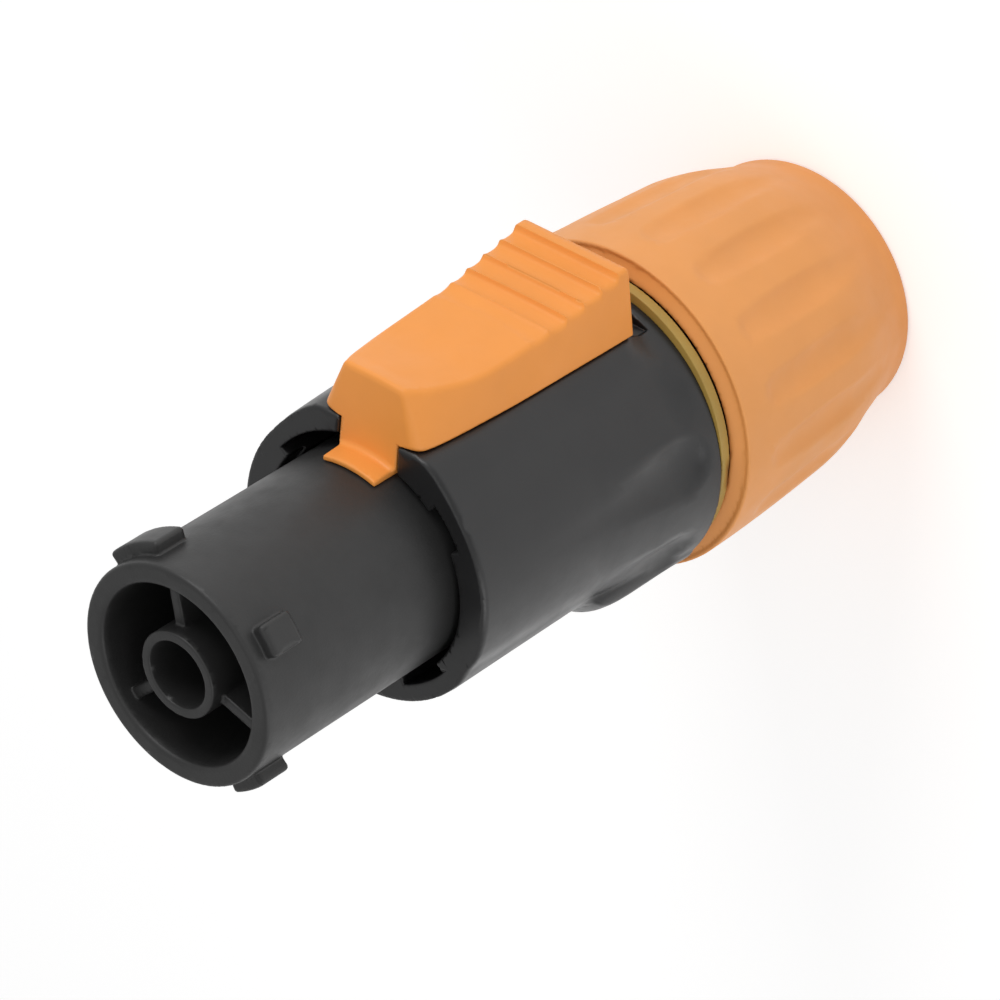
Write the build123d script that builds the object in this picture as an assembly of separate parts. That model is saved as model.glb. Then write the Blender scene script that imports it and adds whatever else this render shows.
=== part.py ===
from build123d import *

import os
from math import acos, atan, cos, degrees, radians, sin, sqrt

# Twist-lock power connector for three conductors, on the cable's end, in millimetres.
#
# It stands on the flat end of its gland nut. Z runs along the connector's axis towards the
# nose, the latch is on the -Y side, and the origin is the centre of the cable hole in the
# nut's end face. An angle is in degrees about the axis, from the latch towards -X. A height
# is a distance from the axis towards the latch.

# Stretches along the axis, from the nut's end to the nose
nut_length = 27.0
seal_reveal = 1.8
shell_length = 29.6
barrel_reach = 22.05

nut_front = nut_length
shell_rear = nut_front + seal_reveal
shell_front = shell_rear + shell_length
nose = shell_front + barrel_reach

# Clearances, and how far a cutting tool reaches past what it cuts
seat_gap = 0.05
slide_gap = 0.15
running_gap = 0.3
stop_gap = 0.1
overcut = 1.0

# Barrel, its cavity, and the centre tube on three webs
barrel_radius = 9.75
barrel_wall = 1.82
barrel_edge = 0.35
cavity_depth = 17.45
cavity_edge = 0.4
floor_thickness = 6.0
tube_radius = 3.83
tube_wall = 0.88
tube_recess = 0.2
tube_bore_depth = 15.0
web_thickness = 1.0
web_recess = 1.45
first_web_angle = -14

# Locking lugs: the middle and the width of each, in degrees
lugs = ((-35.5, 32), (50.5, 15), (141, 20.5))
lug_height = 1.15
lug_setback = 1.4
lug_length = 3.3
lug_edge = 0.3

# Insert inside the housing
shoulder_depth = 22.4
flange_thickness = 2.0
flange_ledge = 0.5
key_inset = 1.0
key_setback = 5.4
sleeve_wall = 1.6

# Housing
shell_radius = 12.88
shell_edge = 0.6
flare_radius = 13.8
flare_drop = 0.84
flare_length = 14.7
grip_radius = 14.4
grip_width = 106
grip_length = 13.9
grip_ramp_length = 4.4
bore_gap = 0.25
mouth_gap = 0.3
mouth_depth = 2.0
notch_margin = 3.0
notch_gap = 0.35
pedestal_height = 12.8
pedestal_front_half = 5.75
pedestal_half = 6.2
pedestal_taper_length = 5.4
pedestal_end = 1.4
pedestal_slope_length = 2.0
pocket_floor = 11.5
pocket_length = 4.2
pocket_wall = 1.2
spigot_radius = 12.3
spigot_length = 10.8

# Finger scallops in the housing
scallops = ((51, 12.5), (77, 12.65), (113, 12.85))
scallop_tool_radius = 7.0
scallop_taper_length = 11.5
scallop_end = 1.5

# Latch
latch_setback = 0.35
latch_length = 25.4
latch_travel = 2.4
latch_front_height = 17.3
latch_corner = 0.9
latch_edge = 0.35
latch_foot_edge = 0.2
ridge_count = 5
ridge_pitch = 2.13
ridge_rise = 0.36
ridge_front = 0.95
ridge_drop = 0.22
ridge_edge = 0.2
valley_edge = 0.3
end_ridge_rise = 0.35
first_ridge_setback = 15.75
first_ridge_drop = 0.2
tongue_half = 3.0
tongue_thickness = 1.3
tongue_reach = 0.25
hook_half = 2.75
hook_reach = 2.15
hook_thickness = 0.65
hook_tip_thickness = 0.3
keel_half = 2.1
keel_length = 12.7
rail_half = 3.5
rail_thickness = 0.95
rail_length = 8.1

# Cross-sections of the latch's cap from its front to its rear. Each has its setback, the
# half-width of its foot, and the half-width at the crease where a side meets the crowned top.
# Then it has how far the crease and the top's middle lie below the top of the cap's front.
cap_stations = ((0, 5.5, 3.25, 0.2, 0),
                (8, 6.0, 4.6, 1.2, 0.15),
                (15, 6.25, 5.2, 0.5, 0.4),
                (latch_length, 6.4, 5.8, -2.0, -2.1))

# Latch spring
spring_radius = 1.0
spring_wire = 0.32
spring_turns = 6
spring_height = 11.3
spring_pin_radius = 0.65
spring_pin_length = 2.2

# Terminals, one for each conductor, at the middle of each chamber
conductor_names = ("line", "neutral", "earth")
terminal_circle = 4.7
terminal_radius = 2.3
terminal_length = 11.0
terminal_setback = 4.8
terminal_edge = 0.2
wire_hole_radius = 1.55
wire_hole_depth = 9.5
block_setback = 1.2
screw_inset = 3.2
screw_radius = 1.0
screw_head_radius = 1.6
screw_head_thickness = 0.9
screw_slot_width = 0.45
screw_slot_depth = 0.4
window_radius = 1.9
plate_width = 2.2
plate_length = 5.0
plate_thickness = 0.4
socket_circle = 5.88
leaf_width = 2.8
leaf_thickness = 0.45
leaf_length = 8.0
leaf_waist = 6.0
leaf_gap = 1.3
leaf_root = 0.9
stem_width = 2.4
stem_thickness = 1.0

# Seal ring between the housing and the nut
seal_lap = 1.2
seal_thickness = 0.85

# Gland nut
nut_radius = 15.1
nut_shoulder_radius = 14.5
nut_shoulder_level = 11.8
nut_waist_radius = 12.65
nut_waist_level = 3.8
nut_rim_radius = 12.05
nut_rim_length = 1.5
nut_edge = 0.25
nut_rim_edge = 0.7
nut_end_wall = 3.2
cable_radius = 6.3
nut_lap = 1.3
thread_gap = 0.35
cone_top_radius = 11.2
cone_length = 5.2
nut_pocket_radius = 9.0
nut_pocket_depth = 8.8
leaf_cut_count = 16
leaf_cut_tool_radius = 3.0
leaf_cut_front = 5.2
leaf_cut_rear = 4.6
leaf_cut_front_depth = 0.4
leaf_cut_middle_depth = 0.55

# Cable chuck, slip ring and gland seal
chuck_bore = 6.5
chuck_ring_bore = 8.2
chuck_ring_length = 11.2
chuck_hub_length = 4.0
chuck_key_setback = 2.0
finger_count = 8
finger_slot = 1.2
finger_root_radius = 9.5
finger_tip_radius = 8.7
finger_slot_setback = 1.0
grip_height = 0.25
grip_count = 4
grip_pitch = 1.9
slip_ring_thickness = 1.0

# Sizes that follow
cavity_radius = barrel_radius - barrel_wall
cavity_floor = nose - cavity_depth
insert_floor = cavity_floor - floor_thickness
lug_radius = barrel_radius + lug_height
lug_top = nose - lug_setback
shoulder = shell_front - shoulder_depth
insert_rear = shoulder - flange_thickness
front_bore_radius = barrel_radius + bore_gap
mouth_radius = front_bore_radius + mouth_gap
web_angles = [first_web_angle + copy * 120 for copy in range(3)]
chamber_angles = dict(zip(conductor_names, [angle + 60 for angle in web_angles]))
flange_radius = front_bore_radius + flange_ledge
rear_bore_radius = flange_radius + 2 * seat_gap
notch_radius = lug_radius + notch_gap
key_radius = notch_radius - running_gap
sleeve_bore_radius = barrel_radius - sleeve_wall
block_radius = sleeve_bore_radius - seat_gap
block_rear = insert_rear + block_setback
terminal_rear = block_rear + terminal_setback
terminal_front = terminal_rear + terminal_length
spigot_end = shell_rear - spigot_length

pocket_end = shell_rear + pocket_wall
pocket_front = pocket_end + pocket_length
cap_rear_half = cap_stations[-1][1]
latch_front = shell_front - latch_setback
latch_rear = latch_front - latch_length
latch_base = pedestal_height + slide_gap
tongue_front = latch_front + tongue_reach
tongue_rear = tongue_front - tongue_thickness
keel_rear = tongue_rear - keel_length
keel_foot = barrel_radius + 2 * slide_gap
tongue_slot_end = tongue_rear - latch_travel - 2 * slide_gap
rail_front = tongue_slot_end - stop_gap
rail_top = keel_foot + rail_thickness
channel_end = shoulder

seal_radius = spigot_radius + seal_thickness
seal_floor = nut_front - seal_lap
nut_hole_radius = cable_radius + running_gap
nut_thread_radius = spigot_radius + thread_gap
nut_counterbore = seal_radius + running_gap
pocket_top = nut_end_wall + nut_pocket_depth
cone_top = pocket_top + cone_length
slip_ring_base = pocket_top - slip_ring_thickness
chuck_tip = pocket_top + stop_gap
chuck_front = insert_rear - stop_gap
chuck_radius = rear_bore_radius - running_gap


def turned(shape, angle):
    """The shape, made under the latch, turned to an angle about the axis."""
    return Rot(0, 0, -angle) * shape


def rod(radius, low, high):
    """Cylinder on the axis between two levels."""
    return Pos(0, 0, low) * Cylinder(radius, high - low, align=(Align.CENTER, Align.CENTER, Align.MIN))


def ring(outer, inner, low, high):
    """Plain ring on the axis between two levels."""
    return rod(outer, low, high) - rod(inner, low, high)


def block(half_width, low_height, high_height, low, high):
    """Block across the latch's side, between two heights and two levels."""
    size = (2 * half_width, high_height - low_height, high - low)
    middle = (0, -(low_height + high_height) / 2, (low + high) / 2)
    return Pos(*middle) * Box(*size)


def sector(inner, outer, middle, width, low, high):
    """Part of a ring, so many degrees wide about a middle angle."""
    start = 270 - middle - width / 2
    far = CenterArc((0, 0, 0), outer, start, width)
    near = CenterArc((0, 0, 0), inner, start, width)
    outline = Curve() + [far, near, Line(far @ 0, near @ 0), Line(far @ 1, near @ 1)]
    return Pos(0, 0, low) * extrude(make_face(outline), high - low)


def lathe(points):
    """Solid turned about the axis from (radius, level) points."""
    outline = Polyline(*[(radius, 0, level) for radius, level in points], close=True)
    return revolve(make_face(outline), Axis.Z)


def side_plate(points, radii, half_width):
    """Solid of a side outline of (height, level) points, across the latch's width."""
    corners = [(0, -height, level) for height, level in points]
    outline = FilletPolyline(*corners, radius=radii, close=True)
    return extrude(make_face(outline), half_width, dir=(1, 0, 0), both=True)


def section(points, level):
    """Cross-section face at a level, of (side, height) points on one side of the latch."""
    half = [(side, -height, level) for side, height in points]
    other = [(-side, -height, level) for side, height in reversed(points)]
    return make_face(Polyline(*half, *other, close=True))


def at_lugs(inner, outer, margin, low, high):
    """Parts of a ring at the lugs' angles, each wider than its lug by a margin at both sides."""
    return [sector(inner, outer, middle, width + 2 * margin, low, high) for middle, width in lugs]


def flare_reach(level, angle):
    """Radius of the housing's flared side at a level and an angle; the flare sits below the axis."""
    share = max(0, 1 - (level - shell_rear) / flare_length)
    rear_reach = flare_radius - flare_drop * cos(radians(angle))
    return shell_radius + share * (rear_reach - shell_radius)


def housing_shell():
    """Black housing: bore, notches for the lugs, latch channel, scallops and threaded spigot."""
    flare_start = shell_rear + flare_length
    body = rod(shell_radius, shell_rear, shell_front)
    body = fillet(body.edges().group_by(Axis.Z)[-1], shell_edge)
    flare_end = Pos(0, flare_drop, shell_rear) * Circle(flare_radius)
    body += loft([flare_end, Pos(0, 0, flare_start) * Circle(shell_radius)], ruled=True)
    body += finger_grip()
    body += pedestal()
    for angle, floor_radius in scallops:
        body -= turned(scallop(angle, floor_radius), angle)
        body -= turned(scallop(angle, floor_radius), -angle)
    body += rod(spigot_radius, spigot_end, shell_rear)
    body -= rod(rear_bore_radius, spigot_end, shoulder)
    body -= rod(front_bore_radius, shoulder, shell_front)
    body -= rod(mouth_radius, shell_front - mouth_depth, shell_front)
    for notch in at_lugs(overcut, notch_radius, notch_margin, spigot_end, shell_front):
        body -= notch
    return body - latch_channel()


def finger_grip():
    """Raised pad opposite the latch, with a ramp at its front."""
    ramp_foot = shell_rear + grip_length
    ramp_top = ramp_foot - grip_ramp_length
    root = (shell_radius + rear_bore_radius) / 2
    outline = [(root, shell_rear), (grip_radius, shell_rear), (grip_radius, ramp_top),
               (shell_radius - seat_gap, ramp_foot), (root, ramp_foot)]
    return lathe(outline) & sector(root, grip_radius + overcut, 180, grip_width, shell_rear, ramp_foot)


def pedestal():
    """Raised flat under the latch, narrower at its front, which slopes down to the rim behind."""
    foot_level = shell_rear + pedestal_end
    top_level = foot_level + pedestal_slope_length
    foot_height = sqrt(flare_reach(foot_level, 0) ** 2 - pedestal_half ** 2)
    levels = [(top_level, pedestal_half), (shell_rear + flare_length, pedestal_half),
              (shell_front - pedestal_taper_length, pedestal_half), (shell_front, pedestal_front_half)]
    sections = [pedestal_section(pedestal_half, foot_height, foot_level, top_level)]
    sections += [pedestal_section(half, pedestal_height, level, level) for level, half in levels]
    return Part() + [loft([low, high], ruled=True) for low, high in zip(sections, sections[1:])]


def pedestal_section(half, height, level, skirt_level):
    """Section of the pedestal, whose shoulders touch the round side as it is at the skirt's level."""
    distance = sqrt(half ** 2 + pedestal_height ** 2)
    flat_angle = atan(half / pedestal_height)
    radius = flare_reach(skirt_level, degrees(flat_angle + acos(shell_radius / distance)))
    skirt_angle = flat_angle + acos(radius / distance)
    skirt = (radius * sin(skirt_angle), radius * cos(skirt_angle))
    return section([(half, height), skirt, (pedestal_front_half, pedestal_height / 2)], level)


def scallop(angle, floor_radius):
    """Tool for a teardrop scallop: a ball-ended rod that leaves the surface towards the front."""
    end_level = shell_rear + scallop_end
    depth = flare_reach(end_level, angle) - floor_radius
    reach = sqrt(2 * scallop_tool_radius * depth - depth ** 2)
    tilt = degrees(atan((shell_radius - floor_radius) / scallop_taper_length))
    tool = Cylinder(scallop_tool_radius, shell_length, align=(Align.CENTER, Align.CENTER, Align.MIN))
    tool += Sphere(scallop_tool_radius)
    return Pos(0, -floor_radius - scallop_tool_radius, end_level + reach) * Rot(tilt, 0, 0) * tool


def latch_channel():
    """Everything cut from the housing's top for the latch: flat, slot, rail grooves and pocket."""
    above = pedestal_height + overcut
    below = front_bore_radius - overcut
    flat = block(pedestal_half, pedestal_height, above, pocket_end, shell_front)
    slot = block(keel_half + slide_gap, below, above, channel_end, shell_front - tongue_thickness)
    mouth = block(tongue_half + slide_gap, below, above, tongue_slot_end, shell_front)
    rail_end = rail_front - rail_length - latch_travel - 2 * slide_gap
    grooves = block(rail_half + slide_gap, below, rail_top + slide_gap, rail_end, tongue_slot_end)
    pocket = block(pedestal_half, pocket_floor, above, pocket_end, pocket_front)
    return flat + slot + mouth + grooves + pocket


def plug_insert():
    """Black insert: barrel with lugs, cavity with the centre tube on webs, floor and rear sleeve."""
    body = rod(barrel_radius, insert_rear, nose)
    body = chamfer(body.edges().group_by(Axis.Z)[-1], barrel_edge)
    body += rod(flange_radius, insert_rear, shoulder)
    key_front = shell_front - key_setback
    for key in at_lugs(sleeve_bore_radius, key_radius, -key_inset, insert_rear, key_front):
        body += key
    body -= rod(cavity_radius, cavity_floor, nose)
    body = chamfer(body.edges().group_by(Axis.Z)[-1].sort_by(SortBy.RADIUS)[0], cavity_edge)
    body += rod(tube_radius, cavity_floor, nose - tube_recess)
    for angle in web_angles:
        web = block(web_thickness / 2, 0, cavity_radius + barrel_wall / 2, cavity_floor, nose - web_recess)
        body += turned(web, angle)
    tube_bore_radius = tube_radius - tube_wall
    body -= rod(tube_bore_radius, nose - tube_recess - tube_bore_depth, nose)
    body -= rod(sleeve_bore_radius, insert_rear, insert_floor)
    for middle, width in lugs:
        body += lug(middle, width)
    for angle in chamber_angles.values():
        body -= turned(stem_passage(insert_floor, cavity_floor), angle)
        body -= turned(screw_window(notch_radius), angle)
    return body


def lug(middle, width):
    """One locking lug, with its edges rounded off."""
    root = barrel_radius - barrel_wall / 2
    pad = sector(root, lug_radius, middle, width, lug_top - lug_length, lug_top)
    outer_faces = pad.faces().sort_by(SortBy.AREA)[-2:]
    outer_face = outer_faces.sort_by_distance((0, 0, lug_top))[-1]
    return fillet(outer_face.edges(), lug_edge)


def stem_passage(low, high):
    """Slot for a contact's stem."""
    half = stem_thickness / 2 + seat_gap
    return block(stem_width / 2 + seat_gap, socket_circle - half, socket_circle + half, low, high)


def screw_axis(outer, inner, radius):
    """Rod across the axis towards one terminal screw, between two distances from the axis."""
    level = terminal_rear + screw_inset
    rod_across = Cylinder(radius, outer - inner, align=(Align.CENTER, Align.CENTER, Align.MIN))
    return Pos(0, -inner, level) * Rot(90, 0, 0) * rod_across


def screw_window(outer):
    """Hole through which a terminal screw is reached."""
    return screw_axis(outer, terminal_circle, window_radius)


def terminal_block():
    """Insulating block behind the insert's floor, with a bore for each terminal."""
    body = rod(block_radius, block_rear, insert_floor - seat_gap)
    bore = rod(terminal_radius + seat_gap, block_rear, terminal_front + seat_gap)
    for angle in chamber_angles.values():
        body -= turned(Pos(0, -terminal_circle, 0) * bore, angle)
        body -= turned(stem_passage(terminal_front, insert_floor), angle)
        body -= turned(screw_window(notch_radius), angle)
    return body


def terminal():
    """Brass terminal under the latch: a cup for the wire, with a tapped hole for its screw."""
    cup = rod(terminal_radius, terminal_rear, terminal_front)
    cup -= rod(wire_hole_radius, terminal_rear, terminal_rear + wire_hole_depth)
    cup = chamfer(cup.edges().group_by(Axis.Z)[-1], terminal_edge)
    cup = Pos(0, -terminal_circle, 0) * cup
    outer = terminal_circle + terminal_radius + overcut
    return cup - screw_axis(outer, terminal_circle, screw_radius + seat_gap)


def clamp_plate():
    """Plate in the wire hole, under the screw's tip."""
    middle = terminal_rear + screw_inset
    low = terminal_circle + plate_distance()
    half_length = plate_length / 2
    return block(plate_width / 2, low, low + plate_thickness, middle - half_length, middle + half_length)


def plate_distance():
    """Height of the clamp plate over the middle of the wire hole, where it just fits."""
    reach = wire_hole_radius - seat_gap
    return sqrt(reach ** 2 - (plate_width / 2) ** 2) - plate_thickness


def terminal_screw():
    """Cheese-head screw that bears on the clamp plate."""
    tip = terminal_circle + plate_distance() + plate_thickness
    head_low = terminal_circle + terminal_radius + seat_gap
    head_high = head_low + screw_head_thickness
    body = screw_axis(head_low, tip, screw_radius)
    body += screw_axis(head_high, head_low, screw_head_radius)
    slot_level = terminal_rear + screw_inset
    slot = block(screw_head_radius, head_high - screw_slot_depth, head_high,
                 slot_level - screw_slot_width / 2, slot_level + screw_slot_width / 2)
    return body - slot


def socket():
    """Sprung contact under the latch: two leaves on a stem that reaches the terminal."""
    base_top = cavity_floor + leaf_root
    inner = leaf_gap / 2
    tip = base_top + leaf_length
    waist = base_top + leaf_waist
    pinch = inner - leaf_thickness / 2
    points = [(inner, base_top), (pinch, waist), (inner, tip), (inner + leaf_thickness, tip),
              (pinch + leaf_thickness, waist), (inner + leaf_thickness, base_top)]
    leaves = []
    for side in (-1, 1):
        corners = [(0, -(socket_circle + side * height), level) for height, level in points]
        face = make_face(Polyline(*corners, close=True))
        leaves.append(extrude(face, leaf_width / 2, dir=(1, 0, 0), both=True))
    half = inner + leaf_thickness
    base = block(leaf_width / 2, socket_circle - half, socket_circle + half, cavity_floor, base_top)
    stem = block(stem_width / 2, socket_circle - stem_thickness / 2, socket_circle + stem_thickness / 2,
                 terminal_front, cavity_floor)
    return base + stem + leaves[0] + leaves[1]


def latch():
    """Orange latch: a ridged cap, a tongue with the hook, and a keel with rails in the housing."""
    cap = side_plate(*latch_outline(), cap_rear_half + overcut) & cap_sides()
    tongue = block(tongue_half, keel_foot, latch_base + overcut, tongue_rear, tongue_front)
    keel = block(keel_half, keel_foot, latch_base + overcut, keel_rear, tongue_rear)
    rails = block(rail_half, keel_foot, rail_top, rail_front - rail_length, rail_front)
    pin = Pos(0, -spring_height, keel_rear - spring_pin_length) * Cylinder(
        spring_pin_radius, spring_pin_length, align=(Align.CENTER, Align.CENTER, Align.MIN))
    return cap + tongue + keel + rails + pin + hook()


def latch_outline():
    """Side outline of the cap, as (height, level) points with a corner radius for each."""
    points = [(latch_base, latch_front), (latch_front_height, latch_front)]
    radii = [latch_foot_edge, latch_corner]
    crest_level = latch_front - first_ridge_setback
    crest_height = latch_front_height - first_ridge_drop
    for ridge in range(ridge_count):
        if ridge > 0:
            points.append((crest_height - ridge_drop, crest_level + ridge_front))
            radii.append(valley_edge)
            crest_height += ridge_rise
        if ridge == ridge_count - 1:
            crest_height += end_ridge_rise
        points.append((crest_height, crest_level))
        radii.append(ridge_edge)
        crest_level -= ridge_pitch
    points += [(crest_height, latch_rear + latch_edge), (latch_base, latch_rear)]
    radii += [latch_edge, latch_edge]
    return points, radii


def cap_sides():
    """Solid that bounds the cap by its leaning sides and its crowned top."""
    faces = [cap_section(*station) for station in cap_stations]
    body = loft(faces)
    front_edges = body.faces().sort_by(Axis.Z)[-1].edges()
    corners = [edge for edge in front_edges if abs(edge.tangent_at(0.5).Y) > 0.5]
    return fillet(corners, latch_corner)


def cap_section(setback, foot_half, crease_half, crease_drop, top_drop):
    """Cross-section of the cap: flat foot, two leaning sides and a crowned top."""
    level = latch_front - setback
    feet = [(side * foot_half, -latch_base, level) for side in (-1, 1)]
    creases = [(side * crease_half, crease_drop - latch_front_height, level) for side in (-1, 1)]
    crown = ThreePointArc(creases[0], (0, top_drop - latch_front_height, level), creases[1])
    sides = [Line(feet[0], creases[0]), Line(feet[0], feet[1]), Line(feet[1], creases[1])]
    return make_face(Curve() + [crown] + sides)


def hook():
    """Curved lip of the hook, which lies just over the barrel."""
    inner = keel_foot - slide_gap
    rear = tongue_front - tongue_thickness / 2
    front = tongue_front + hook_reach
    lip = lathe([(inner, rear), (inner + hook_thickness, rear), (inner + hook_thickness, tongue_front),
                 (inner + hook_tip_thickness, front), (inner, front)])
    return lip & block(hook_half, 0, inner + 2 * hook_thickness, rear, front)


def latch_spring():
    """Compression spring between the channel's end and the keel."""
    length = keel_rear - channel_end - 2 * seat_gap - spring_wire
    path = Helix(pitch=length / spring_turns, height=length, radius=spring_radius)
    wire = sweep(Plane(path @ 0, z_dir=path % 0) * Circle(spring_wire / 2), path)
    return Pos(0, -spring_height, channel_end + seat_gap + spring_wire / 2) * wire


def housing_seal_ring():
    """Seal ring on the spigot, against the housing's rear face."""
    return ring(seal_radius, spigot_radius + seat_gap, seal_floor + stop_gap, shell_rear)


def gland_nut():
    """Orange nut: barrel shape with leaf-shaped scallops, and the bore for the chuck and seal."""
    body = nut_outside()
    tool = leaf_cut()
    for copy in range(leaf_cut_count):
        body -= turned(tool, copy * 360 / leaf_cut_count)
    bore = lathe([(0, 0), (nut_hole_radius, 0), (nut_hole_radius, nut_end_wall),
                  (nut_pocket_radius, nut_end_wall),
                  (nut_pocket_radius, pocket_top), (cone_top_radius, cone_top),
                  (nut_thread_radius, cone_top), (nut_thread_radius, nut_front - nut_lap),
                  (nut_counterbore, nut_front - nut_lap), (nut_counterbore, nut_front), (0, nut_front)])
    return body - bore


def nut_side():
    """Curve of the nut's side, from its front edge to the rim at its rear."""
    points = [(nut_radius, 0, nut_front), (nut_shoulder_radius, 0, nut_shoulder_level),
              (nut_waist_radius, 0, nut_waist_level), (nut_rim_radius, 0, nut_rim_length)]
    return Spline(*points, tangents=[(0, 0, -1), (0, 0, -1)])


def nut_outside():
    """Solid inside the nut's outer skin."""
    side = nut_side()
    rim = [Line((nut_rim_radius, 0, nut_rim_length), (nut_rim_radius, 0, 0)),
           Line((nut_rim_radius, 0, 0), (0, 0, 0)), Line((0, 0, 0), (0, 0, nut_front)),
           Line((0, 0, nut_front), (nut_radius, 0, nut_front))]
    body = revolve(make_face(Curve() + [side] + rim), Axis.Z)
    body = fillet(body.edges().group_by(Axis.Z)[0], nut_rim_edge)
    return fillet(body.edges().group_by(Axis.Z)[-1], nut_edge)


def side_radius(level):
    """Radius of the nut's side at a level."""
    side = nut_side()
    low, high = 0.0, 1.0
    for _ in range(30):
        middle = (low + high) / 2
        if (side @ middle).Z > level:
            low = middle
        else:
            high = middle
    return (side @ low).X


def leaf_cut():
    """Tool for one leaf-shaped scallop, blunt at the nut's front and drawn out to its rear."""
    front_level = nut_front - leaf_cut_front
    rear_level = leaf_cut_rear
    middle_level = (front_level + rear_level) / 2
    out = leaf_cut_tool_radius
    front = (0, -(side_radius(front_level) - leaf_cut_front_depth + out), front_level)
    middle = (0, -(side_radius(middle_level) - leaf_cut_middle_depth + out), middle_level)
    rear = (0, -(side_radius(rear_level) + out), rear_level)
    path = ThreePointArc(front, middle, rear)
    tube = sweep(Plane(path @ 0, z_dir=path % 0) * Circle(out), path)
    return tube + Pos(*front) * Sphere(out)


def cable_chuck():
    """Collet: a keyed ring in the spigot and slotted fingers that the nut's cone closes."""
    ring_end = chuck_front - chuck_ring_length
    hub_top = ring_end + chuck_hub_length
    profile = [(chuck_bore, chuck_tip), (finger_tip_radius, chuck_tip), (finger_root_radius, cone_top),
               (finger_root_radius, ring_end), (chuck_radius, ring_end), (chuck_radius, chuck_front),
               (chuck_ring_bore, chuck_front), (chuck_ring_bore, hub_top), (chuck_bore, ring_end)]
    body = lathe(profile)
    key_low = ring_end + chuck_key_setback
    for key in at_lugs(chuck_radius - slide_gap, key_radius, -key_inset, key_low, chuck_front):
        body += key
    for row in range(grip_count):
        level = chuck_tip + (row + 1) * grip_pitch
        body += lathe([(chuck_bore + seat_gap, level - grip_height), (chuck_bore - grip_height, level),
                       (chuck_bore + seat_gap, level + grip_height)])
    slot_low = chuck_bore - overcut
    slot = block(finger_slot / 2, slot_low, chuck_radius, chuck_tip, ring_end - finger_slot_setback)
    for copy in range(finger_count):
        body -= turned(slot, copy * 360 / finger_count)
    return body


def gland_slip_ring():
    """Washer that keeps the turning seal off the chuck's fingers."""
    return ring(nut_pocket_radius - running_gap, chuck_bore, slip_ring_base, pocket_top)


def gland_seal():
    """Rubber seal in the nut's pocket, round the cable."""
    return ring(nut_pocket_radius - seat_gap, cable_radius, nut_end_wall, slip_ring_base - stop_gap)


nodes = {
    "housing_shell": housing_shell(),
    "plug_insert": plug_insert(),
    "terminal_block": terminal_block(),
    "latch": latch(),
    "latch_spring": latch_spring(),
    "housing_seal_ring": housing_seal_ring(),
    "gland_nut": gland_nut(),
    "cable_chuck": cable_chuck(),
    "gland_slip_ring": gland_slip_ring(),
    "gland_seal": gland_seal(),
}
for conductor, contact_angle in chamber_angles.items():
    nodes[conductor + "_socket"] = turned(socket(), contact_angle)
    nodes[conductor + "_terminal"] = turned(terminal(), contact_angle)
    nodes[conductor + "_terminal_screw"] = turned(terminal_screw(), contact_angle)
    nodes[conductor + "_clamp_plate"] = turned(clamp_plate(), contact_angle)

os.makedirs("parts", exist_ok=True)
for name, shape in nodes.items():
    export_step(shape, f"parts/{name}.step")
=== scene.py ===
import math

import bpy
import numpy as np
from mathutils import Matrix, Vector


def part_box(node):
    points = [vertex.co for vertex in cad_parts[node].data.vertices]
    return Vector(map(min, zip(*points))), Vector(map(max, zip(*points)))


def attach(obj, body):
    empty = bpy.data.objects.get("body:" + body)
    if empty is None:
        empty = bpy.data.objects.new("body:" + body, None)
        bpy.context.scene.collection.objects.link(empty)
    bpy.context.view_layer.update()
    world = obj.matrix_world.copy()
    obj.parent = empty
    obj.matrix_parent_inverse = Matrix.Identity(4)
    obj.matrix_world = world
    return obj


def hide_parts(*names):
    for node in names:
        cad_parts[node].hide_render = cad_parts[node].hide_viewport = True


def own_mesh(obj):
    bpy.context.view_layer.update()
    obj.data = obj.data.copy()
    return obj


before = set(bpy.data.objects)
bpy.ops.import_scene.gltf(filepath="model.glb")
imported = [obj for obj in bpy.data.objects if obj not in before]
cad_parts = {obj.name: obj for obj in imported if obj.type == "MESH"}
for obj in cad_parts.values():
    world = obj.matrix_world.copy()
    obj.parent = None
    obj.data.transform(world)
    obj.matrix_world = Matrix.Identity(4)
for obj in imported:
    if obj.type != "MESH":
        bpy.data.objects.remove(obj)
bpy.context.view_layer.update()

import openvdb
from mathutils import Matrix, Vector

# Looks of the twist-lock power connector. Sizes are in millimetres, as in the part's source, and
# levels are along Z from the nut's end. An angle is in degrees about the axis, from the latch
# towards -X, a height is a distance from the axis towards the latch, and a side is a distance to
# either side of the latch. A field is the distance of points to a shape, below 0 inside it.
mm = 0.001


def level_of(node, corner):
    """Level in millimetres of a node's lowest (0) or highest (1) corner."""
    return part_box(node)[corner].z / mm


# Levels that come from the frame
nut_front = level_of("gland_nut", 1)
shell_rear = level_of("housing_seal_ring", 1)
shell_front = level_of("housing_shell", 1)
spigot_end = level_of("housing_shell", 0)
nose = level_of("plug_insert", 1)
insert_rear = level_of("plug_insert", 0)
latch_front = shell_front - 0.35
seal_low = level_of("housing_seal_ring", 0)

# Shared by the pieces: the usual rounding, and how far a tool reaches past the wall that it cuts
small_edge = 0.2
overshoot = 1.0

# Meshing: how freely flat parts are merged, the steps that bring the points onto the surface, the
# offset over which a field's slope is taken, the least slope to divide by, and the least square
# to take a root of
mesh_merge = 0.05
newton_steps = 3
probe = 0.01
least_slope = 0.1
least_square = 0.01

# Barrel, cavity, centre tube and webs
barrel_radius = 9.75
barrel_edge = 0.4
cavity_radius = 7.93
cavity_floor = nose - 17.45
cavity_edge = 0.5
tube_radius = 3.83
tube_bore_radius = 2.95
tube_top = nose - 0.2
tube_bore_floor = tube_top - 15.0
web_thickness = 1.0
web_top = nose - 1.45
web_inset = 1.0
web_angles = (-14, 106, 226)

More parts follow.
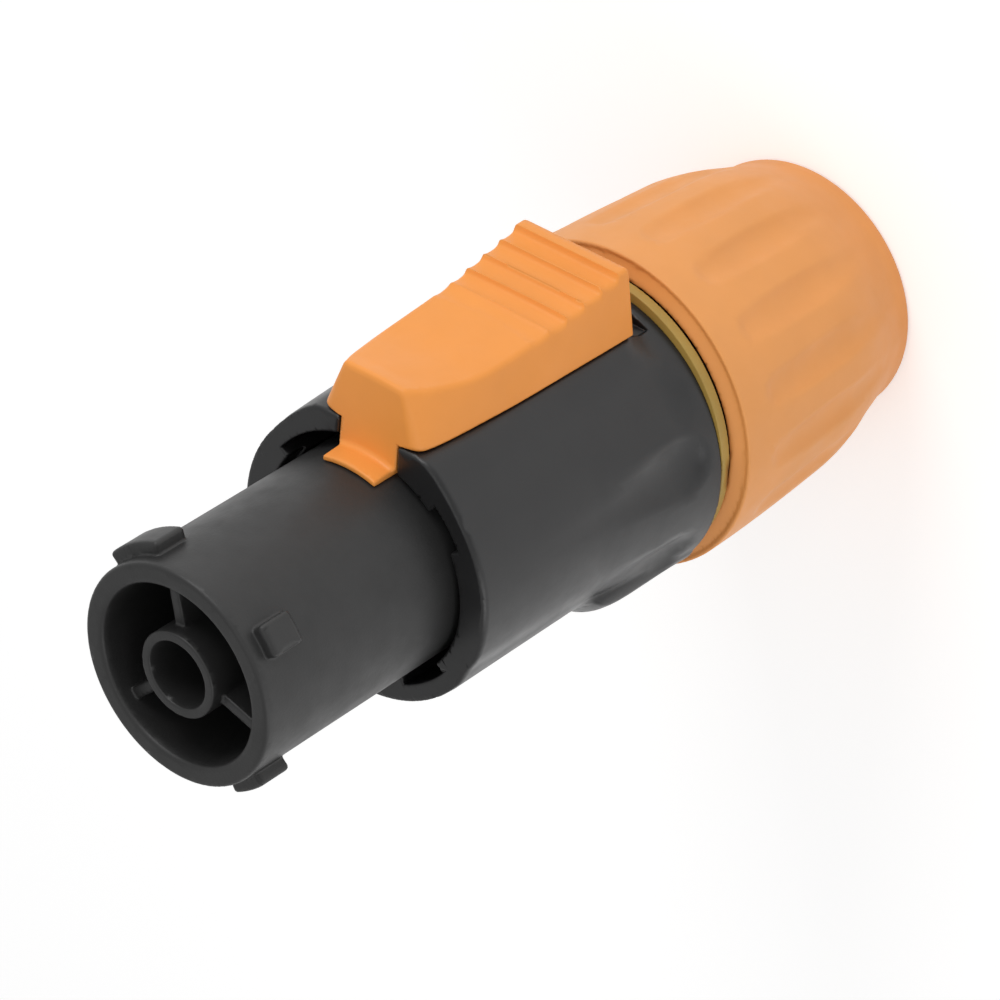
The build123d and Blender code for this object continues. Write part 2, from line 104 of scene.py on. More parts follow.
# Lugs on the barrel, each with its angle and its width in degrees
lugs = ((-35.5, 32), (50.5, 15), (141, 20.5))
lug_radius = 10.9
lug_top = nose - 1.4
lug_length = 3.3
lug_edge = 0.35

# Rear of the insert: flange, keys, sleeve, and the passages and windows of the chambers
shoulder = shell_front - 22.4
flange_radius = 10.5
key_radius = 10.95
key_inset = 1.0
key_front = shell_front - 5.4
sleeve_bore_radius = 8.15
insert_floor = cavity_floor - 6.0
chamber_angles = (46, 166, 286)
socket_circle = 5.88
stem_half_width = 1.25
stem_half_thickness = 0.55
window_radius = 1.9
window_level = insert_rear + 9.2
window_start = 1.0

# Housing's flared side. A knot of the grip pad has a level above the rear edge and a radius.
shell_radius = 12.88
flare_radius = 13.8
flare_drop = 0.84
flare_length = 14.7
flare_low_length = 12.4
flare_low_angles = (90, 125)
grip_knots = ((0, 14.38), (7.2, 14.37), (8.7, 14.34), (9.8, 14.26), (10.6, 14.14), (11.2, 13.95),
              (11.7, 13.6), (12.2, 13.2), (12.8, 12.92), (13.6, 12.6), (15.0, 11.8))
grip_half_angle = 53
grip_soft = 0.8
grip_foot_soft = 0.5
grip_sweep = 3.0
shell_edge = 0.25
rim_edge = 0.1

# Scallops on both sides of the housing, each with its angle, its floor's radius and its tool's
scallops = ((52, 12.72, 26.0), (77, 12.45, 6.0), (117, 13.05, 6.0))
scallop_taper_length = 11.5
scallop_end = 1.5
scallop_tip_radius = 6.0
scallop_soft = 0.3

# Bores of the housing, and the notches in its front face
front_bore_radius = 10.0
mouth_radius = 10.3
mouth_depth = 2.0
rear_bore_radius = 10.6
notch_start = 1.0
notch_radius = 11.25
notch_margin = 3.0

# Flat under the latch and its shoulders. A knot has an angle and a radius: the shoulders grow from
# shoulder_knots at the front to pedestal_knots over shoulder_length.
pedestal_height = 12.38
pedestal_half = 6.2
flat_margin = 1.0
pedestal_knots = ((0, 14.0), (24, 13.95), (31, 13.72), (36, 13.55), (41, 13.35), (46, 13.18),
                  (52, 13.02), (59, 12.93), (66, 12.88), (180, 12.88))
shoulder_knots = ((0, 13.5), (24, 13.5), (31, 13.4), (36, 13.22), (41, 13.08), (46, 12.98),
                  (52, 12.9), (59, 12.88), (180, 12.88))
shoulder_length = 6.0
pedestal_foot = shell_rear + 1.6
pedestal_fade = 4.0
pedestal_soft = 0.4
pocket_floor = 11.5
pocket_low = shell_rear + 1.2
pocket_high = pocket_low + 2.6
pocket_half = 5.75

# Threaded spigot
spigot_radius = 12.3
thread_pitch = 2.0
thread_height = 0.25
thread_runout = 0.3

# Cap of the latch. A station has the setback from its front, the half-width of its foot, and the
# half-width and height of the crease where its side meets its top. A crest has setback and height.
latch_base = pedestal_height + 0.1
latch_rear = latch_front - 25.65
cap_stations = ((0, 5.25, 3.2, 17.55), (1.8, 5.42, 3.85, 17.18), (4.5, 5.67, 4.55, 16.76),
                (7.2, 5.84, 5.05, 16.5), (10, 6.0, 5.22, 16.56), (13.3, 6.1, 5.28, 16.8),
                (15.5, 6.13, 5.33, 17.03), (17.6, 6.16, 5.4, 17.5), (19.7, 6.2, 5.46, 17.9),
                (21.85, 6.23, 5.52, 18.32), (23.9, 6.25, 5.57, 18.86), (26, 6.27, 5.6, 18.86))
crown_rise = 0.12
crown_end = 24.0
crown_fade = 8.0
crests = ((13.4, 16.98), (15.5, 17.05), (17.6, 17.46), (19.7, 17.87), (21.85, 18.28),
          (23.9, 18.83))
first_crest = 15.5
riser_power = 18
tread_drop = 0.2
top_share = 0.8
cap_soft = 0.4
front_lean = 0.05
corner_low = 1.1
corner_high = 0.4
corner_rise = 5.0
rear_edge = 0.35
rear_lean = 0.07
foot_edge = 0.15
foot_corner = 0.5
foot_corner_length = 3.0
foot_corner_gap = 0.3

# Tongue at the latch's front, and the hook over the barrel
tongue_half = 3.0
tongue_rise = 3.0
tongue_front = latch_front + 0.25
tongue_rear = tongue_front - 1.3
tongue_soft = 0.5
hook_half = 2.75
hook_front = tongue_front + 2.3
hook_thickness = 0.65
hook_tip_thickness = 0.5
hook_inner = 9.82
hook_edge = 0.16

# Keel, rails and spring pin under the latch, and the channel that they run in
keel_foot = 10.05
keel_half = 2.1
keel_top = latch_base + 1.0
keel_rear = tongue_rear - 12.7
keel_front = tongue_rear + 0.5
rail_half = 3.5
rail_top = 11.0
rail_front = tongue_rear - 2.8
rail_rear = rail_front - 8.1
pin_height = 11.3
pin_radius = 0.65
pin_half_length = 2.2
channel_gap = 0.15
channel_rise = 3.0
channel_mouth = rail_front + 0.1
groove_rear = rail_rear - 2.7

# Latch spring. Its wire has so many sides, and so many steps to a turn.
spring_low = level_of("latch_spring", 0)
spring_high = level_of("latch_spring", 1)
spring_radius = 1.0
spring_wire_radius = 0.16
spring_turns = 6
spring_sides = 12
spring_steps = 36

# Seal ring
seal_radius = 13.77
seal_inner = 12.35
seal_foot = nut_front + 0.8

# Gland nut. A knot of its side has a level and a radius, and a knot of its front face has a radius
# and a level.
nut_knots = ((0, 12.05), (1.5, 12.05), (3.8, 12.65), (7.8, 13.85), (11.8, 14.5), (27.0, 15.1))
nut_front_knots = ((13.0, 27.42), (13.5, 27.2), (14.2, 26.88), (14.6, 26.76), (14.85, 26.83),
                   (15.3, 26.83))
nut_edge = 0.15
nut_rim_edge = 0.7
nut_bore_edge = 0.4
nut_hole_radius = 6.6
nut_end_wall = 3.2
nut_pocket_radius = 9.0
pocket_top = 12.0
cone_top = 17.2
cone_top_radius = 11.2
cone_lean = (cone_top_radius - nut_pocket_radius) / (cone_top - pocket_top)
nut_thread_radius = 12.65
nut_counterbore = 13.2
counterbore_low = nut_front - 1.3

# Leaf-shaped scallops of the nut
leaf_count = 16
leaf_tool_radius = 3.0
leaf_front = nut_front - 5.2
leaf_rear = 4.6
leaf_front_depth = 0.4
leaf_middle_depth = 0.55
leaf_soft = 0.2


def between(value, low, high):
    """Distance to a span from low to high, below 0 inside it."""
    return np.abs(value - (low + high) / 2) - (high - low) / 2


def rounded(edge, *walls):
    """Distance to a shape that lies inside every wall, with its edges rounded."""
    outside = np.sqrt(sum(np.maximum(wall + edge, 0) ** 2 for wall in walls))
    inside = np.minimum(np.maximum.reduce(walls) + edge, 0)
    return outside + inside - edge


def join(first, second, soft=0.0):
    """Union of two shapes, with a fillet where soft is above 0."""
    if soft == 0:
        return np.minimum(first, second)
    share = np.clip(0.5 + 0.5 * (second - first) / soft, 0, 1)
    return second + (first - second) * share - soft * share * (1 - share)


def cut(body, tool, soft=0.0):
    """Body less a tool, with the edge softened where soft is above 0."""
    return -join(-body, tool, soft)


def within(body, limit, soft=0.0):
    """Part of a body that lies inside a limit."""
    return -join(-body, -limit, soft)


def radius_of(p):
    """Distance of the points to the axis."""
    return np.hypot(p[:, 0], p[:, 1])


def rod(p, radius, low, high, edge=0.0):
    """Cylinder on the axis between two levels."""
    return rounded(edge, radius_of(p) - radius, between(p[:, 2], low, high))


def tube(p, inner, outer, low, high, edge=0.0):
    """Ring on the axis between two levels."""
    return rounded(edge, between(radius_of(p), inner, outer), between(p[:, 2], low, high))


def under_latch(p, angle=0.0):
    """Side, height and level of the points, with the direction at an angle put under the latch."""
    turn = math.radians(angle)
    side, height = -p[:, 0], -p[:, 1]
    return (side * math.cos(turn) - height * math.sin(turn),
            height * math.cos(turn) + side * math.sin(turn), p[:, 2])


def bar(place, half_width, low_height, high_height, low, high, edge=0.0):
    """Block across the latch's side, between two heights and two levels."""
    side, height, level = place
    return rounded(edge, np.abs(side) - half_width, between(height, low_height, high_height),
                   between(level, low, high))


def sector(p, inner, outer, middle, width, low, high, edge=0.0):
    """Part of a ring, so many degrees wide about a middle angle."""
    side, height, level = under_latch(p, middle)
    half = math.radians(width / 2)
    flank = np.abs(side) * math.cos(half) - height * math.sin(half)
    return rounded(edge, between(radius_of(p), inner, outer), flank, between(level, low, high))


def at_lugs(p, inner, outer, margin, low, high, edge=0.0):
    """Three parts of a ring at the lugs' angles."""
    return np.minimum.reduce([sector(p, inner, outer, middle, width + 2 * margin, low, high, edge)
                              for middle, width in lugs])


def curve(x, knots):
    """Smooth curve through (x, y) knots, level before the first and after the last."""
    xs, ys = (np.array(column, float) for column in zip(*sorted(knots)))
    slopes = np.zeros(len(xs))
    slopes[1:-1] = (ys[2:] - ys[:-2]) / (xs[2:] - xs[:-2])
    x = np.clip(x, xs[0], xs[-1])
    place = np.clip(np.searchsorted(xs, x) - 1, 0, len(xs) - 2)
    width = xs[place + 1] - xs[place]
    t = (x - xs[place]) / width
    return ((1 + 2 * t) * (1 - t) ** 2 * ys[place] + t * (1 - t) ** 2 * width * slopes[place]
            + t * t * (3 - 2 * t) * ys[place + 1] - t * t * (1 - t) * width * slopes[place + 1])


def thread_ridge(p, shift=0.0):
    """Height of a right-hand thread's ridge, from 0 to 1."""
    turns = p[:, 2] / thread_pitch - np.arctan2(p[:, 1], p[:, 0]) / (2 * math.pi) - shift
    return 0.5 + 0.5 * np.cos(2 * math.pi * turns)


def placed(name, data):
    """New object in the scene."""
    made = bpy.data.objects.new(name, data)
    bpy.context.scene.collection.objects.link(made)
    return made


def shape(name, field, low, high, step):
    """Object whose surface is where the field is zero, between two corners in millimetres."""
    band = 3 * step
    low = np.array(low, float) - band
    counts = np.ceil((np.array(high, float) + band - low) / step).astype(int) + 1
    xs, ys = (low[axis] + step * np.arange(counts[axis]) for axis in (0, 1))
    values = np.empty(counts, np.float32)
    across = np.stack(np.meshgrid(xs, ys, indexing="ij"), -1).reshape(-1, 2)
    for layer in range(counts[2]):
        level = np.full((len(across), 1), low[2] + step * layer)
        values[:, :, layer] = field(np.hstack([across, level])).reshape(counts[:2])
    grid = openvdb.FloatGrid(band)
    grid.copyFromArray(np.clip(values, -band, band))
    points, triangles, quads = grid.convertToPolygons(adaptivity=mesh_merge)
    points = low + points.astype(float) * step
    for _ in range(newton_steps):
        gradient, distance = slope(field, points)
        points -= np.clip(distance, -step, step)[:, None] * gradient
    mesh = bpy.data.meshes.new(name)
    mesh.from_pydata(points * mm, [], triangles.tolist() + quads.tolist())
    mesh.shade_smooth()
    mesh.normals_split_custom_set_from_vertices(slope(field, points)[0])
    return placed(name, mesh)


def slope(field, points):
    """Outward unit direction of the field at points, and the distance along it to the surface."""
    gradient = np.stack([field(points + offset) - field(points - offset)
                         for offset in np.eye(3) * probe], -1) / (2 * probe)
    size = np.linalg.norm(gradient, axis=1, keepdims=True)
    return (gradient / np.maximum(size, least_slope),
            field(points) / np.maximum(size[:, 0], least_slope))


def leaf_field(p):
    """Leaf-shaped scallops around the nut, each a ball swept along a bowed line."""
    side, height, level = under_latch(p)
    radial = radius_of(p)
    pitch = 2 * math.pi / leaf_count
    turn = (np.arctan2(side, height) + pitch / 2) % pitch - pitch / 2
    place = np.minimum(level, leaf_front)
    share = (place - leaf_rear) / (leaf_front - leaf_rear)
    rise = 4 * leaf_middle_depth - leaf_front_depth
    depth = rise * share + (leaf_front_depth - rise) * np.maximum(share, 0) ** 2
    centre = curve(place, nut_knots) - depth + leaf_tool_radius
    return np.sqrt((radial * np.sin(turn)) ** 2 + (radial * np.cos(turn) - centre) ** 2
                   + (level - place) ** 2) - leaf_tool_radius


def nut_field(p):
    """Gland nut: curved side with its leaves, and the bores for cable, seal and thread."""
    level = p[:, 2]
    radial = radius_of(p)
    outside = radial - curve(level, nut_knots)
    front = curve(radial, nut_front_knots)
    body = np.maximum(rounded(nut_edge, outside, level - front),
                      rounded(nut_rim_edge, outside, -level))
    body = cut(body, leaf_field(p), leaf_soft)
    cone = radial - nut_pocket_radius - (level - pocket_top) * cone_lean
    bore = np.minimum.reduce([
        rod(p, nut_hole_radius, -overshoot, nut_end_wall + overshoot),
        rod(p, nut_pocket_radius, nut_end_wall, pocket_top, small_edge),
        np.maximum(cone, between(level, pocket_top, cone_top)),
        rod(p, nut_counterbore, counterbore_low, nut_front + overshoot)])
    wall = nut_thread_radius - thread_height * thread_ridge(p, 0.5)
    thread = np.maximum(radial - wall, between(level, cone_top, nut_front))
    return cut(cut(body, bore, nut_bore_edge), thread)


def seal_field(p):
    """Seal ring on the spigot."""
    return tube(p, seal_inner, seal_radius, seal_foot, shell_rear, rim_edge)


def flare_share(level, angle):
    """How far the housing's side has flared at a level and an angle, from 0 to 1 at its rear."""
    length = np.interp(angle, flare_low_angles, (flare_length, flare_low_length))
    return np.clip(1 - (level - shell_rear) / length, 0, 1)


def flare_reach(level, angle):
    """Radius of the housing's side at a level and an angle; the flare is centred below the axis."""
    rear_reach = flare_radius - flare_drop * math.cos(math.radians(angle))
    return shell_radius + flare_share(level, angle) * (rear_reach - shell_radius)


def shoulder_field(p):
    """Flared side with the latch's flat and its raised shoulders, which fade out at the rear."""
    side, height, level = under_latch(p)
    angle = np.degrees(np.arctan2(np.abs(side), height))
    share = flare_share(level, angle)
    round_side = (np.hypot(side, height + flare_drop * share) - shell_radius
                  - share * (flare_radius - shell_radius))
    growth = np.clip((shell_front - level) / shoulder_length, 0, 1)
    front_rise = curve(angle, shoulder_knots) - shell_radius
    rise = front_rise + growth * (curve(angle, pedestal_knots) - shell_radius - front_rise)
    fade = np.clip((level - pedestal_foot) / pedestal_fade, 0, 1)
    body = round_side - rise * fade * fade * (3 - 2 * fade)
    flat = np.maximum(pocket_low - level, pedestal_height - height)
    flat = np.maximum(flat, np.abs(side) - pedestal_half - flat_margin)
    return cut(body, flat, pedestal_soft)


def scallop_field(place, angle, floor_radius, tool_radius):
    """Teardrop scallop: a ball-ended rod that leaves the surface towards the front."""
    side, height, level = place
    end_level = shell_rear + scallop_end
    depth = float(flare_reach(end_level, angle)) - floor_radius
    start = end_level + math.sqrt(2 * scallop_tip_radius * depth - depth ** 2)
    tilt = math.atan2(shell_radius - floor_radius, scallop_taper_length)
    drop = (height - floor_radius) * math.cos(tilt) - (level - start) * math.sin(tilt)
    behind = np.minimum(level - start, 0)
    rise = scallop_tip_radius - np.sqrt(np.maximum(scallop_tip_radius ** 2 - behind ** 2,
                                                   least_square))
    return np.hypot(side, tool_radius - np.maximum(drop - rise, -tool_radius)) - tool_radius


def grip_field(p):
    """Raised pad opposite the latch, with a ramp at its front that sweeps back at its sides."""
    side, height, level = under_latch(p, 180)
    half = math.radians(grip_half_angle)
    flank = np.abs(side) * math.cos(half) - height * math.sin(half)
    sweep = grip_sweep * np.clip(1 - np.arctan2(np.abs(side), height) / half, 0, 1)
    pad = radius_of(p) - curve(level - shell_rear + sweep, grip_knots)
    return within(pad, flank, grip_soft)


def channel_field(p):
    """Channel in the housing for the latch's tongue, keel and rails, and the pocket at its rear."""
    place = under_latch(p)
    low_height = front_bore_radius - overshoot
    high_height = pedestal_height + channel_rise
    return np.minimum.reduce([
        bar(place, keel_half + channel_gap, low_height, high_height, shoulder, shell_front),
        bar(place, tongue_half + channel_gap, low_height, high_height, channel_mouth,
            shell_front + overshoot),
        bar(place, rail_half + channel_gap, low_height, rail_top + channel_gap, groove_rear,
            channel_mouth),
        bar(place, pocket_half, pocket_floor, high_height, pocket_low, pocket_high)])


def shell_field(p):
    """Black housing with its flat, grip pad, scallops, bores, notches and threaded spigot."""
    level = p[:, 2]
    body = join(shoulder_field(p), grip_field(p), grip_foot_soft)
    for angle, floor_radius, tool_radius in scallops:
        for turn in (angle, -angle):
            scallop = scallop_field(under_latch(p, turn), angle, floor_radius, tool_radius)
            body = cut(body, scallop, scallop_soft)
    body = np.maximum(rounded(shell_edge, body, level - shell_front),
                      rounded(rim_edge, body, shell_rear - level))
    spigot = rod(p, spigot_radius, spigot_end, shell_rear + overshoot, small_edge)
    ridge = radius_of(p) - spigot_radius - thread_height * thread_ridge(p)
    thread = np.maximum(ridge, between(level, spigot_end, seal_low) + thread_runout)
    body = np.minimum.reduce([body, spigot, thread])
    front_end = shell_front + overshoot
    bore = np.minimum.reduce([
        rod(p, rear_bore_radius, spigot_end - overshoot, shoulder),
        rod(p, front_bore_radius, shoulder - overshoot, front_end),
        rod(p, mouth_radius, shell_front - mouth_depth, front_end),
        at_lugs(p, notch_start, notch_radius, notch_margin, spigot_end - overshoot, front_end)])
    return cut(cut(body, bore, small_edge), channel_field(p), small_edge)


def insert_field(p):
    """Black insert: barrel with lugs, cavity with its centre tube on webs, floor and sleeve."""
    body = rod(p, barrel_radius, insert_rear, nose, barrel_edge)
    lug = at_lugs(p, barrel_radius - overshoot, lug_radius, 0, lug_top - lug_length, lug_top,
                  lug_edge)
    body = join(body, lug, small_edge)
    body = np.minimum(body, rod(p, flange_radius, insert_rear, shoulder))
    keys = at_lugs(p, sleeve_bore_radius, key_radius, -key_inset, insert_rear, key_front,
                   small_edge)
    body = np.minimum(body, keys)
    cavity = rod(p, cavity_radius, cavity_floor, nose + overshoot)
    stem = rod(p, tube_radius, cavity_floor - overshoot, tube_top, small_edge)
    for angle in web_angles:
        web = bar(under_latch(p, angle), web_thickness / 2, 0, cavity_radius + overshoot,
                  cavity_floor - overshoot, web_top, small_edge)
        stem = join(stem, web, small_edge)
    stem = np.maximum(stem, radius_of(p) - barrel_radius + web_inset)
    bores = np.minimum(rod(p, tube_bore_radius, tube_bore_floor, nose + overshoot),
                       rod(p, sleeve_bore_radius, insert_rear - overshoot, insert_floor))
    for angle in chamber_angles:
        place = under_latch(p, angle)
        side, height, level = place
        passage = bar(place, stem_half_width, socket_circle - stem_half_thickness,
                      socket_circle + stem_half_thickness, insert_floor - overshoot,
                      cavity_floor + overshoot)
        window = np.maximum(np.hypot(side, level - window_level) - window_radius,
                            window_start - height)
        bores = np.minimum.reduce([bores, passage, window])
    return cut(join(cut(body, cavity, cavity_edge), stem, small_edge), bores, small_edge)


def cap_field(place):
    """Cap of the latch: leaning sides, a dished top, and treads that rise to crests."""
    side, height, level = place
    setback = latch_front - level
    foot, crease, crease_height = (
        curve(setback, [(station[0], station[column]) for station in cap_stations])
        for column in range(1, 4))
    top = curve(np.minimum(setback, first_crest), [(station[0], station[3])
                                                   for station in cap_stations])
    crown = np.clip((crown_end - setback) / crown_fade, 0, 1)
    top = top + crown_rise * (1 - (side / crease) ** 2) * crown
    for (start, low), (end, high) in zip(crests, crests[1:]):
        share = np.clip((setback - start) / (end - start), 0, 1)
        top += (high - low) * share ** riser_power - 4 * tread_drop * share * (1 - share)
    lean = np.arctan2(foot - crease, crease_height - latch_base)
    flank = (np.abs(side) - foot) * np.cos(lean) + (height - latch_base) * np.sin(lean)
    body = within((height - top) * top_share, flank, cap_soft)
    front = level - tongue_front + front_lean * (height - latch_base)
    corner = np.interp(height, (latch_base, latch_base + corner_rise), (corner_low, corner_high))
    body = rounded(corner, body, front)
    body = rounded(rear_edge, body, latch_rear + rear_lean * (height - latch_base) - level)
    nearness = (np.clip(1 - setback / foot_corner_length, 0, 1) ** 2
                * np.clip(np.abs(side) - tongue_half - foot_corner_gap, 0, 1))
    return rounded(foot_edge + (foot_corner - foot_edge) * nearness, body, latch_base - height)


def latch_field(p):
    """Latch: cap, tongue with its hook, and the keel with rails that run in the housing."""
    place = under_latch(p)
    side, height, level = place
    front = level - tongue_front + front_lean * (height - latch_base)
    tongue = rounded(small_edge, np.abs(side) - tongue_half, front, tongue_rear - level,
                     keel_foot - height, height - latch_base - tongue_rise)
    keel = bar(place, keel_half, keel_foot, keel_top, keel_rear, keel_front, small_edge)
    rails = bar(place, rail_half, keel_foot, rail_top, rail_rear, rail_front, small_edge)
    pin = np.maximum(np.hypot(side, height - pin_height) - pin_radius,
                     np.abs(level - keel_rear) - pin_half_length)
    reach = np.clip((level - tongue_front) / (hook_front - tongue_front), 0, 1)
    thickness = hook_thickness + (hook_tip_thickness - hook_thickness) * reach
    middle = hook_inner + thickness / 2
    hook = rounded(hook_edge, np.abs(radius_of(p) - middle) - thickness / 2,
                   np.abs(side) - hook_half, between(level, tongue_rear, hook_front), -height)
    return join(np.minimum.reduce([cap_field(place), tongue, keel, rails, pin]), hook,
                tongue_soft)


def coil(name, height):
    """Round wire wound as a spring about a line along Z, at a height under the latch."""
    along = spring_steps * spring_turns
    turn = np.linspace(0, 2 * math.pi * spring_turns, along + 1)[:, None]
    level = np.linspace(spring_low + spring_wire_radius, spring_high - spring_wire_radius,
                        along + 1)[:, None]
    ring = np.linspace(0, 2 * math.pi, spring_sides, endpoint=False)
    reach = spring_radius + spring_wire_radius * np.cos(ring)
    points = np.stack([np.cos(turn) * reach, np.sin(turn) * reach - height,
                       level + spring_wire_radius * np.sin(ring)], -1).reshape(-1, 3)
    last = along * spring_sides
    faces = [(row + place, row + spring_sides + place, row + spring_sides + after, row + after)
             for row in range(0, last, spring_sides)
             for place, after in zip(range(spring_sides), [*range(1, spring_sides), 0])]
    faces += [tuple(range(spring_sides)), tuple(reversed(range(last, last + spring_sides)))]
    mesh = bpy.data.meshes.new(name)
    mesh.from_pydata(points * mm, [], faces)
    mesh.shade_smooth()
    return placed(name, mesh)


# Procedural finishes: the noise values that count as low and high, the sizes of the patches of
# colour and roughness, and how much the roughness varies
noise_range = (0.3, 0.7)
colour_patch = 6.0
rough_patch = 2.5
rough_spread = 0.12


def material(name, colour, roughness, metal=0.0, grain=0.25, grain_depth=0.01, mottle=0.08,
             specular=0.5):
    """Procedural finish: slow colour variation, uneven roughness, and a fine grain."""
    made = bpy.data.materials.new(name)
    made.use_nodes = True
    nodes, links = made.node_tree.nodes, made.node_tree.links
    shader = nodes["Principled BSDF"]
    shader.inputs["Metallic"].default_value = metal
    shader.inputs["Specular IOR Level"].default_value = specular
    place = nodes.new("ShaderNodeTexCoord").outputs["Object"]

    def noise(size, detail, rough=0.5):
        """Noise with patches of a size in millimetres."""
        node = nodes.new("ShaderNodeTexNoise")
        node.inputs["Scale"].default_value = 1 / (size * mm)
        node.inputs["Detail"].default_value = detail
        node.inputs["Roughness"].default_value = rough
        links.new(place, node.inputs["Vector"])
        return node.outputs["Fac"]

    def spread(value, low, high):
        """Noise brought to a range."""
        node = nodes.new("ShaderNodeMapRange")
        node.inputs["From Min"].default_value = noise_range[0]
        node.inputs["From Max"].default_value = noise_range[1]
        node.inputs["To Min"].default_value = low
        node.inputs["To Max"].default_value = high
        links.new(value, node.inputs["Value"])
        return node.outputs["Result"]

    mix = nodes.new("ShaderNodeMix")
    mix.data_type = "RGBA"
    mix.inputs[6].default_value = (*(channel * (1 - mottle) for channel in colour), 1)
    mix.inputs[7].default_value = (*(min(channel * (1 + mottle), 1) for channel in colour), 1)
    links.new(spread(noise(colour_patch, 3), 0, 1), mix.inputs[0])
    links.new(mix.outputs[2], shader.inputs["Base Color"])
    uneven = spread(noise(rough_patch, 4, 0.6), roughness * (1 - rough_spread),
                    roughness * (1 + rough_spread))
    links.new(uneven, shader.inputs["Roughness"])
    bump = nodes.new("ShaderNodeBump")
    bump.inputs["Distance"].default_value = grain_depth * mm
    bump.inputs["Strength"].default_value = 1
    links.new(noise(grain, 2), bump.inputs["Height"])
    links.new(bump.outputs["Normal"], shader.inputs["Normal"])
    return made


finishes = {
    "housing_black": material("black gloss plastic", (0.012, 0.012, 0.0125), 0.36,
                              grain=0.6, grain_depth=0.006),
    "insert_black": material("black satin plastic", (0.018, 0.018, 0.018), 0.48,
                             grain=0.22, grain_depth=0.012),
    "signal_orange": material("orange satin plastic", (0.90, 0.33, 0.062), 0.45,
                              grain=0.25, grain_depth=0.008, mottle=0.03, specular=0.4),
    "seal_olive": material("olive seal rubber", (0.42, 0.27, 0.06), 0.5,
                           grain=0.2, grain_depth=0.01),
    "block_grey": material("grey plastic", (0.16, 0.16, 0.17), 0.5),
    "chuck_white": material("white plastic", (0.7, 0.7, 0.68), 0.42, mottle=0.03),
    "gland_rubber": material("black rubber", (0.02, 0.02, 0.02), 0.75,
                             grain=0.15, grain_depth=0.02),
    "contact_metal": material("silver plate", (0.72, 0.66, 0.5), 0.28, metal=1.0,
                              grain=0.1, grain_depth=0.004),
    "terminal_brass": material("brass", (0.72, 0.5, 0.2), 0.3, metal=1.0,
                               grain=0.1, grain_depth=0.005),
    "fastener_steel": material("zinc plated steel", (0.6, 0.6, 0.6), 0.34, metal=1.0,
                               grain=0.12, grain_depth=0.005),
}

# The nut's base colour is a little paler and pinker than the latch's: painted sheen, standing in
# for the white sheen on its surface
sheen_painted_nut_finish = material("orange matt plastic, paler for painted sheen", (0.85, 0.355, 0.10), 0.5,
                      grain=0.3, grain_depth=0.01, mottle=0.03)

# Pieces that show, each in place of its node: body, slot, field and mesh step
dressed = {
    "gland_nut": ("nut", "signal_orange", nut_field, 0.14),
    "housing_seal_ring": ("housing", "seal_olive", seal_field, 0.16),
    "housing_shell": ("housing", "housing_black", shell_field, 0.17),
    "plug_insert": ("housing", "insert_black", insert_field, 0.22),
    "latch": ("latch", "signal_orange", latch_field, 0.1),
}
for node, (body, slot, field, step) in dressed.items():
    corners = [tuple(value / mm for value in corner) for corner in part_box(node)]
    piece = shape("moulded_" + node, field, *corners, step)
    # The nut gets its own finish, whose paler base colour is painted sheen
    piece.data.materials.append(sheen_painted_nut_finish if node == "gland_nut" else finishes[slot])
    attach(piece, body)
    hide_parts(node)

# The latch's spring: a fixed coil of round wire in place of its node (the real spring flattens as
# the latch slides back)
spring = coil("wound_latch_spring", pin_height)
spring.data.materials.append(finishes["fastener_steel"])
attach(spring, "housing")
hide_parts("latch_spring")
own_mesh(spring)

# The other inner pieces keep their solids' meshes
inner_slots = {"terminal_block": "block_grey", "cable_chuck": "chuck_white",
               "gland_slip_ring": "chuck_white", "gland_seal": "gland_rubber"}


def inner_slot(name):
    """Slot of an inner node."""
    if name.endswith("_socket"):
        return "contact_metal"
    if name.endswith("_terminal"):
        return "terminal_brass"
    return inner_slots.get(name, "fastener_steel")


for name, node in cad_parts.items():
    if name not in dressed:
        node.data.materials.clear()
        node.data.materials.append(finishes[inner_slot(name)])

# Camera at the photograph's angle: its directions and its place, fitted to the photograph
camera_right = Vector((-0.76122, -0.05013, -0.64656))
camera_up = Vector((0.40116, -0.81976, -0.40874))
camera_back = Vector((-0.50953, -0.57051, 0.64412))
camera_place = Vector((-212.72, -235.31, 309.87)) * mm
camera = placed("camera", bpy.data.cameras.new("camera"))
camera.data.lens = 180
camera.data.clip_start = 0.01
turned = Matrix((camera_right, camera_up, camera_back)).transposed().to_4x4()
camera.matrix_world = Matrix.Translation(camera_place) @ turned
bpy.context.scene.camera = camera

lamp_target = Vector((0, 0, 40)) * mm


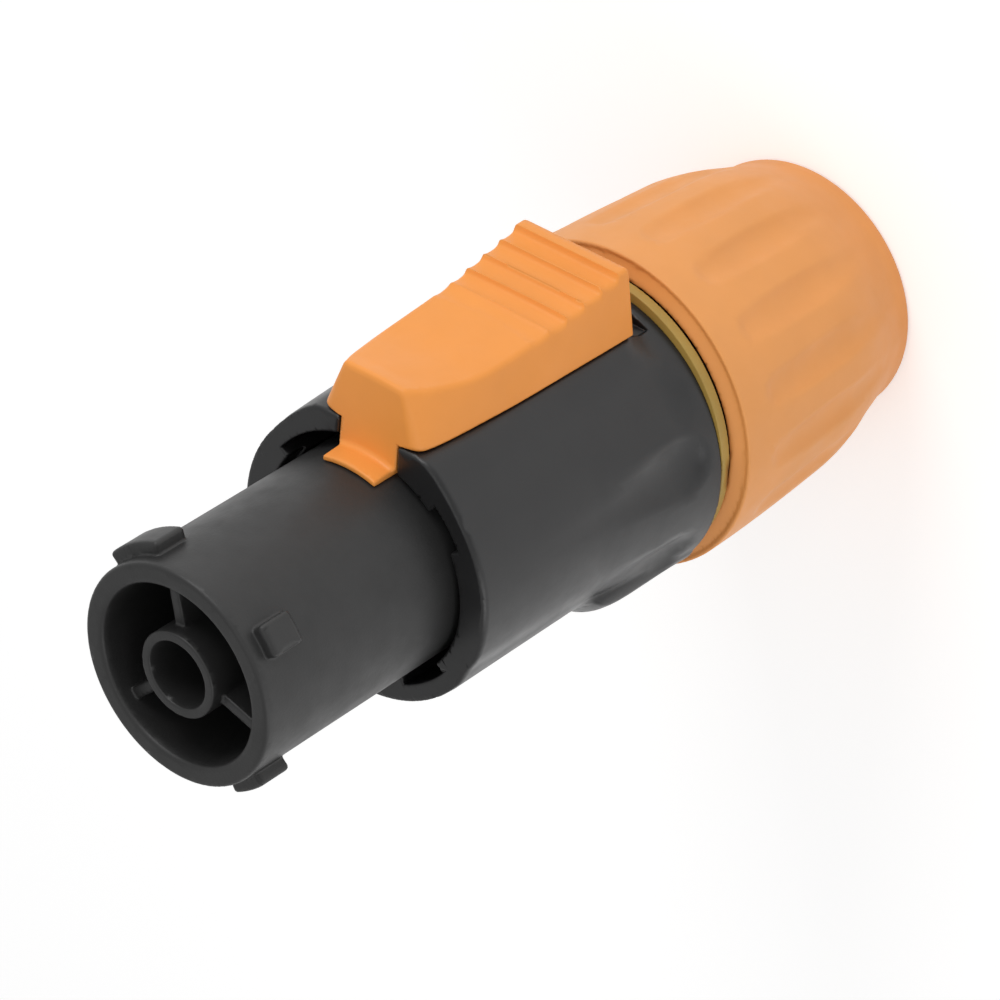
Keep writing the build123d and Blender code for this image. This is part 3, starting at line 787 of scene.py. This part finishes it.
def lamp(name, place, size, power):
    """Square area lamp, aimed at the middle of the part."""
    light = bpy.data.lights.new(name, "AREA")
    light.size = size * mm
    light.energy = power
    made = placed(name, light)
    made.location = Vector(place) * mm
    made.rotation_euler = (lamp_target - made.location).to_track_quat("-Z", "Y").to_euler()


lamp("key lamp", (60, -345, 170), 180, 0.5)
lamp("side lamp", (-330, 120, 160), 200, 0.23)
lamp("top lamp", (-160, -160, 420), 150, 0.08)

world = bpy.data.worlds.new("studio")
world.use_nodes = True
bpy.context.scene.world = world
world.node_tree.nodes["Background"].inputs["Color"].default_value = (1, 1, 1, 1)
world.node_tree.nodes["Background"].inputs["Strength"].default_value = 0.6

# White floor, in metres, which glows for the camera and in reflections only
floor_reach = 3.0
floor_glow = 0.42
floor_mesh = bpy.data.meshes.new("floor")
floor_mesh.from_pydata([(-floor_reach, -floor_reach, 0), (floor_reach, -floor_reach, 0),
                        (floor_reach, floor_reach, 0), (-floor_reach, floor_reach, 0)], [],
                       [(0, 1, 2, 3)])
floor = placed("floor", floor_mesh)
floor_finish = bpy.data.materials.new("white floor")
floor_finish.use_nodes = True
nodes, links = floor_finish.node_tree.nodes, floor_finish.node_tree.links
shader = nodes["Principled BSDF"]
shader.inputs["Base Color"].default_value = (0.8, 0.8, 0.8, 1)
shader.inputs["Roughness"].default_value = 0.9
shader.inputs["Specular IOR Level"].default_value = 0.1
shader.inputs["Emission Color"].default_value = (1, 1, 1, 1)
rays = nodes.new("ShaderNodeLightPath")
seen = nodes.new("ShaderNodeMath")
seen.operation = "MAXIMUM"
links.new(rays.outputs["Is Camera Ray"], seen.inputs[0])
links.new(rays.outputs["Is Glossy Ray"], seen.inputs[1])
glow = nodes.new("ShaderNodeMath")
glow.operation = "MULTIPLY"
glow.inputs[1].default_value = floor_glow
links.new(seen.outputs[0], glow.inputs[0])
links.new(glow.outputs[0], shader.inputs["Emission Strength"])
floor_mesh.materials.append(floor_finish)

bpy.context.scene.view_settings.view_transform = "Standard"
